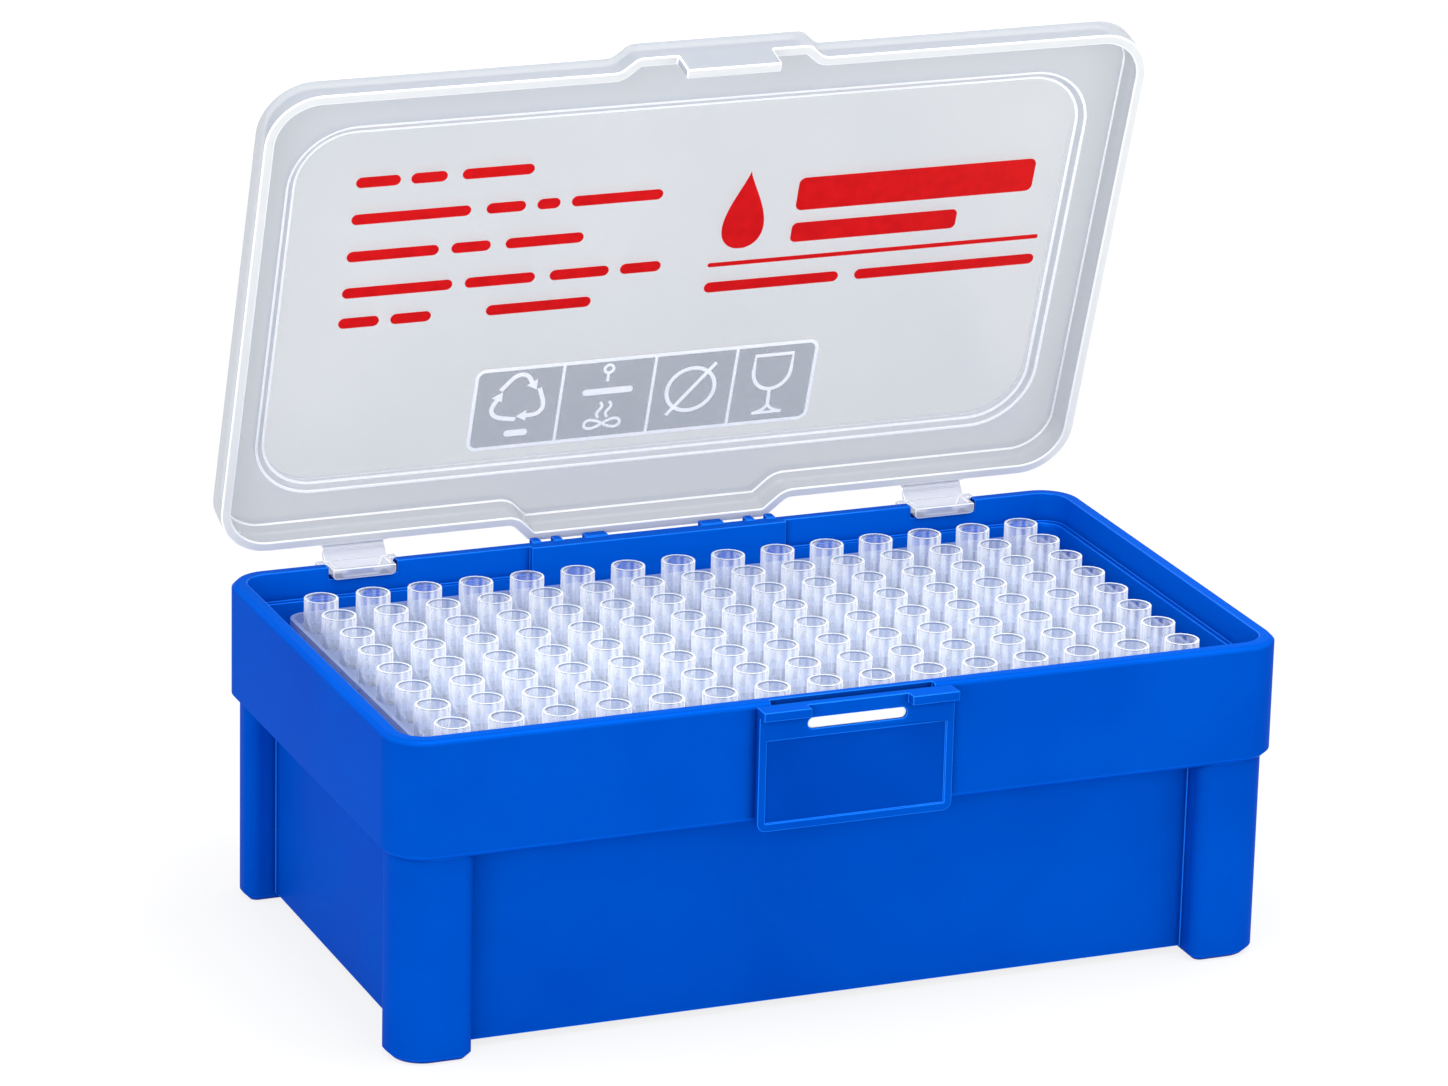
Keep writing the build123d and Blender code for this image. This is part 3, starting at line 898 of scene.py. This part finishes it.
# %% Stroke, bar, ring and line
def stroke(path, half_width, closed=False):
    """A slab along a path of (n, 2) points: left and right edges lie half_width to each side,
    measured square to the path's direction, each with a front (-1) and a rear (1) point."""
    if closed:
        along = np.roll(path, -1, axis=0) - np.roll(path, 1, axis=0)
    else:
        along = np.gradient(path, axis=0)
    n = len(path)
    along = along / np.linalg.norm(along, axis=1, keepdims=True)
    half_width = np.broadcast_to(half_width, n)[:, None]
    side = np.stack([-along[:, 1], along[:, 0]], axis=-1) * half_width
    section = [(path + side, -1), (path - side, -1), (path - side, 1), (path + side, 1)]
    points = np.stack([np.column_stack([edge, np.full(n, z)]) for edge, z in section], axis=1)
    faces = ring_faces(n, 4)
    if not closed:
        last_ring = 4 * (n - 1)
        ends = [[3, 2, 1, 0], [last_ring, last_ring + 1, last_ring + 2, last_ring + 3]]
        faces = np.vstack([faces[:-4], ends])
    return points.reshape(-1, 3), faces[:, ::-1]


def bar(x0, x1, y, height, corner=None, steps=8):
    """A bar with round corners of radius r, or round ends: near each end the half width is
    that of the middle less r - sqrt(r^2 - d^2), d being the distance to the corner's centre."""
    r = corner or height / 2
    bend = r * (1 - np.cos(np.linspace(0.12, math.pi / 2, steps)))
    x = np.concatenate([x0 + bend, (x1 - bend)[::-1]])
    inside = np.minimum(np.minimum(x - x0, x1 - x), r)
    half = height / 2 - r + np.sqrt(r * r - (r - inside) ** 2)
    return stroke(np.column_stack([x, np.full(len(x), y)]), half)


def circle(x, y, radius, steps):
    """Points round a circle: x + r cos t and y + r sin t."""
    turn = np.linspace(0, 2 * math.pi, steps, endpoint=False)
    return np.column_stack([x + radius * np.cos(turn), y + radius * np.sin(turn)])


def line(*corners, half_width=0.25):
    """A straight-sided open line through the corners given."""
    return stroke(np.array(corners, float), half_width)


print("a plain bar has", len(bar(0, 10, 0, 2)[1]), "faces")

# %% [markdown]
# ## Ink on the lid
# The print is drawn in millimetres on the plan of the shut lid and then turned to where
# the lid rests. Each slab sinks a little into the plate, so that no gap shows behind it,
# and stands a little proud of its inner face. Like the tips it drops no shadow, so that
# no dark bars fall through the clear plate on what is behind it.

# %% Inks and printed pieces
ink_sink = 0.02                 # mm into the plate


def ink_piece(name, strokes, material, thick=0.06):
    """Joins many strokes into one printed piece on the lid, thick mm proud of its inner face."""
    points, faces, first = [], [], 0
    for stroke_points, stroke_faces in strokes:
        points.append(stroke_points)
        faces.append(stroke_faces + first)
        first += len(stroke_points)
    flat = np.vstack(points)
    flat[:, 2] = np.where(flat[:, 2] < 0, -thick, ink_sink)
    at_rest = turned(flat * MM + np.array([0, 0, plate_inside]), -open_turn)
    piece = make_piece(name, at_rest, np.vstack(faces).tolist(), [material])
    piece.visible_shadow = False
    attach(piece, "lid")
    print(name, "has", len(strokes), "strokes")


ink = {"rough": (0.4, 0.55), "patches": 400.0}
red_ink = plastic("red_ink", [(204, 8, 12), (216, 14, 16)], gloss=0.1, **ink)
white_ink = plastic("white_ink", [(250, 252, 254), (254, 255, 255)], **ink)
smoky_ink = plastic(
    "smoky_panel_ink", [(142, 152, 166), (150, 160, 174)], (0.35, 0.5), 0.34, grain=0.01, gloss=0.2)
print("inks:", [m.name for m in (red_ink, white_ink, smoky_ink)])

# %% [markdown]
# ## Red lines and mark
# Five rows of bars stand for the lines of small print, with a gap wherever a word ends.
# The mark beside them is a drop and two bold bars, with a thin rule and two small bars
# below. The drop is one upright stroke whose width swells from nothing at the top to its
# full size near the bottom.

# %% Print the red
line_left, line_height = -58.3, 2.0
text_rows = [                   # in mm: y of each line, then where its words start and end
    (-23.3, (0, 7.6), (9.4, 15.6), (18.2, 30.6)),
    (-16.2, (0, 20.5), (23.2, 30), (32, 36), (38, 54)),
    (-9.0, (0, 15.8), (18, 24.8), (27.4, 41)),
    (-1.9, (0, 19), (21.2, 33.4), (36, 46.4), (48.4, 55.6)),
    (4.0, (0, 7), (9, 16), (25.6, 44)),
]
words = [
    bar(line_left + start, line_left + end, y, line_height)
    for y, *spans in text_rows
    for start, end in spans
]

drop_x, drop_y, drop_half_height, drop_half_width = 11.0, -11.6, 7.6, 5.4
fall = np.linspace(0.06, math.pi - 0.12, 24)
drop_path = np.column_stack([np.full(len(fall), drop_x), drop_y - drop_half_height * np.cos(fall)])
drop = stroke(drop_path, drop_half_width * np.sin(fall) * np.sin(fall / 2) ** 1.6)
mark = [drop, bar(20.0, 63.0, -13.8, 6.4, 1.2), bar(20.0, 50.0, -6.2, 3.8, 1.0)]
mark += [bar(5.8, 66.0, -1.1, 0.8), bar(5.8, 30.0, 3.4, 2.0), bar(33.0, 66.0, 3.4, 2.0)]
ink_piece("red_print", words + mark, red_ink)

# %% [markdown]
# ## The smoky panel
# Behind the signs the plate carries a thin smoky tint, framed and divided into four
# fields by fine white lines. The tint is a bar with small corners, the frame a closed
# stroke along the same outline, with a quarter circle at each corner.

# %% Panel, frame and dividers
panel_left, panel_right, panel_front, panel_rear = -32.5, 28.5, 16.3, 32.1
panel_corner = 1.5
near_left, near_right = panel_left + panel_corner, panel_right - panel_corner
near_front, near_rear = panel_front + panel_corner, panel_rear - panel_corner
quarter = np.radians(np.linspace(-90, 0, 6))
corner_centres = [
    (near_right, near_front),
    (near_right, near_rear),
    (near_left, near_rear),
    (near_left, near_front),
]
panel_path = np.vstack([
    np.column_stack([
        x + panel_corner * np.cos(quarter + step * math.pi / 2),
        y + panel_corner * np.sin(quarter + step * math.pi / 2),
    ])
    for step, (x, y) in enumerate(corner_centres)
])
frame_lines = [stroke(panel_path, 0.3, True)]
for x in (-17.1, -0.7, 14.0):
    frame_lines += [line((x, panel_front), (x, panel_rear), half_width=0.26)]

panel_middle = (panel_front + panel_rear) / 2
panel_bar = bar(panel_left, panel_right, panel_middle, panel_rear - panel_front, panel_corner)
print("the frame has", len(panel_path), "points and", len(frame_lines) - 1, "dividers")

# %% [markdown]
# ## Curves for the signs
# Two of the signs have curved strokes. A curve starts as a broken line with few corners,
# and cutting the corners off again and again turns it into a smooth bend. An arrow is
# such a bend that ends in a short stroke whose width runs down to a point.

# %% Bends and arrows
def cut_corners(corners, times=3):
    """The corners of a broken line cut off again and again, each time at a quarter of the
    sides that meet there, so that it turns into a curve between the same two ends."""
    path = np.array(corners, float)
    for _ in range(times):
        near, far = 0.75 * path[:-1] + 0.25 * path[1:], 0.25 * path[:-1] + 0.75 * path[1:]
        path = np.vstack([path[:1], np.stack([near, far], axis=1).reshape(-1, 2), path[-1:]])
    return path


def arrow(corners, half_width=0.38, head=1.7):
    """A bend through the corners, then a head of that length along the last side."""
    tip, before = corners[-1], corners[-2]
    ahead = (tip - before) / np.linalg.norm(tip - before)
    head_widths = np.array([head * 0.6, 0.02])
    return [
        line(*cut_corners(corners), half_width=half_width),
        stroke(np.array([tip, tip + ahead * head]), head_widths),
    ]


def turned_about(centre, points, angle):
    """Plan points turned about a centre: x' = x cos a - y sin a and y' = x sin a + y cos a."""
    x, y = (points - centre).T
    c, s = math.cos(angle), math.sin(angle)
    return centre + np.column_stack([x * c - y * s, x * s + y * c])


print("a bend of 4 corners has", len(cut_corners([(0, 0), (1, 0), (1, 1), (2, 1)])), "points")

# %% [markdown]
# ## Four signs
# From left to right: three arrows that chase each other round a loop, with a bar below;
# a knob over a bar, with steam that rises from two flat loops; a ring with a slash; and a
# stemmed glass. All are plain strokes in millimetres on the lid's plan, where y grows
# towards the hinge, which is down when the lid stands open.

# %% Draw and print the signs
loop_middle = np.array([-24.6, 22.6])
arrow_corners = np.array([(-28.0, 20.5), (-25.6, 17.6), (-23.6, 17.6), (-22.5, 19.4)])
loop = [bar(-26.4, -22.2, 29.4, 1.2)]
for third in range(3):
    loop += arrow(turned_about(loop_middle, arrow_corners, third * 2 * math.pi / 3))

steam = [stroke(circle(-9.0, 18.1, 0.8, 20), 0.25, True)]
steam += [line((-9.0, 18.9), (-9.0, 20.6)), bar(-13.2, -4.2, 22.6, 1.2)]
rise = np.linspace(0, 1, 16)
for start_x in (-9.7, -8.1):    # two wavy lines
    wave = np.column_stack([start_x + 0.4 * np.sin(2 * math.pi * rise), 24.8 + 3.2 * rise])
    steam += [stroke(wave, 0.24)]
round_turn = np.linspace(0, 2 * math.pi, 28, endpoint=False)
for side in (-1, 1):            # two flat loops, narrow at the middle
    flat_x = -8.9 + side * (1.7 - 1.5 * np.cos(round_turn))
    flat_y = 29.2 + 0.8 * np.sin(round_turn) * (1 - 0.4 * np.cos(round_turn))
    steam += [stroke(np.column_stack([flat_x, flat_y]), 0.24, True)]

slashed = [stroke(circle(6.4, 23.9, 4.3, 40), 0.34, True)]
slashed += [line((2.6, 28.8), (10.4, 18.9), half_width=0.31)]

cup_turn = np.linspace(0, math.pi, 15)
bowl = np.column_stack([20.95 + 3.4 * np.cos(cup_turn), 21.6 + 3.8 * np.sin(cup_turn)])
cup = np.vstack([[(17.55, 18.4), (24.35, 18.4)], bowl])
foot = cut_corners([(18.7, 30.2), (20.4, 29.6), (21.1, 28.6), (21.8, 29.6), (23.5, 30.2)])
glass = [stroke(cup, 0.32, True), line((20.95, 25.4), (21.1, 29.0), half_width=0.3)]
glass += [stroke(foot, 0.26), line((18.4, 30.2), (23.8, 30.2), half_width=0.26)]
ink_piece("white_print", frame_lines + loop + steam + slashed + glass, white_ink)
ink_piece("sign_panel_tint", [panel_bar], smoky_ink, thick=0.03)

# %% [markdown]
# ## The hinge webs
# Each hinge is a living one: where the lid's tab and the clip's crest meet, the plastic
# is thinned to a web that bends. It is drawn straight, as when shut, and each point is
# turned about the hinge line by a share of the open angle that runs smoothly from 0 to
# 1.

# %% The two webs
web_half = 0.35 * MM            # half of the stretch that bends
web_reach = 0.6 * MM            # from the hinge line to the ends, which sink into tab and clip
web_thick = 0.3 * MM
web_inset = 0.02 * MM
web_half_width = 5.3 * MM


def hinge_web(name, x):
    """A strip round a closed section: up runs from below to above the hinge line, and each
    point turns by -open_turn * w, where w = t^2 (3 - 2 t) and t is its share of the web."""
    rise = np.linspace(-web_reach, web_reach, 13)
    up = np.concatenate([rise, rise[::-1]])
    out = np.repeat([-web_inset, -web_inset - web_thick], len(rise))
    share = np.clip((up + web_half) / (2 * web_half), 0, 1)
    bend = -open_turn * share ** 2 * (3 - 2 * share)
    y = pivot[1] + out * np.cos(bend) - up * np.sin(bend)
    z = pivot[2] + out * np.sin(bend) + up * np.cos(bend)
    ends = (x - web_half_width, x + web_half_width)
    points = np.stack([np.column_stack([np.full(len(up), end), y, z]) for end in ends])
    web = make_piece(name, points, prism_faces(len(up)), [clip_clear])
    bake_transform(web)


for side in ("left", "right"):
    low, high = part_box("hinge_clip_" + side)
    hinge_web("hinge_web_" + side, (low.x + high.x) / 2)
print("two webs,", *in_mm([2 * web_half_width]), "mm wide")

# %% [markdown]
# ## The bar behind the slot
# A slot for the lid's tongue runs across the catch plate, and something white shows in
# it. A short bar with round ends, a hair smaller than the slot, stands there between the
# plate and the wall behind. It is an outline carried from back to front.

# %% Slot bar
slot_top = rim_height - 2.7 * MM
slot_tall = 1.85 * MM
slot_half = 8.5 * MM
slot_gap = 0.04 * MM
bar_radius = slot_tall / 2 - slot_gap
bar_back, bar_front = plate_front + 1.3 * MM, plate_front + 0.45 * MM

half_round = np.linspace(-math.pi / 2, math.pi / 2, 9)
sides = np.repeat([1, -1], len(half_round))
end_turn = np.tile(half_round, 2)
bar_x = sides * (np.cos(end_turn) * bar_radius + slot_half - slot_tall / 2)
bar_z = sides * np.sin(end_turn) * bar_radius + slot_top - slot_tall / 2
bar_points = np.stack([
    np.column_stack([bar_x, np.full(len(bar_x), y), bar_z]) for y in (bar_back, bar_front)
])
slot_bar = make_piece("slot_bar", bar_points, prism_faces(len(bar_x)), [white_ink])
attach(slot_bar, "base")
print("the slot is", in_mm([2 * slot_half, slot_tall], 2), "mm")
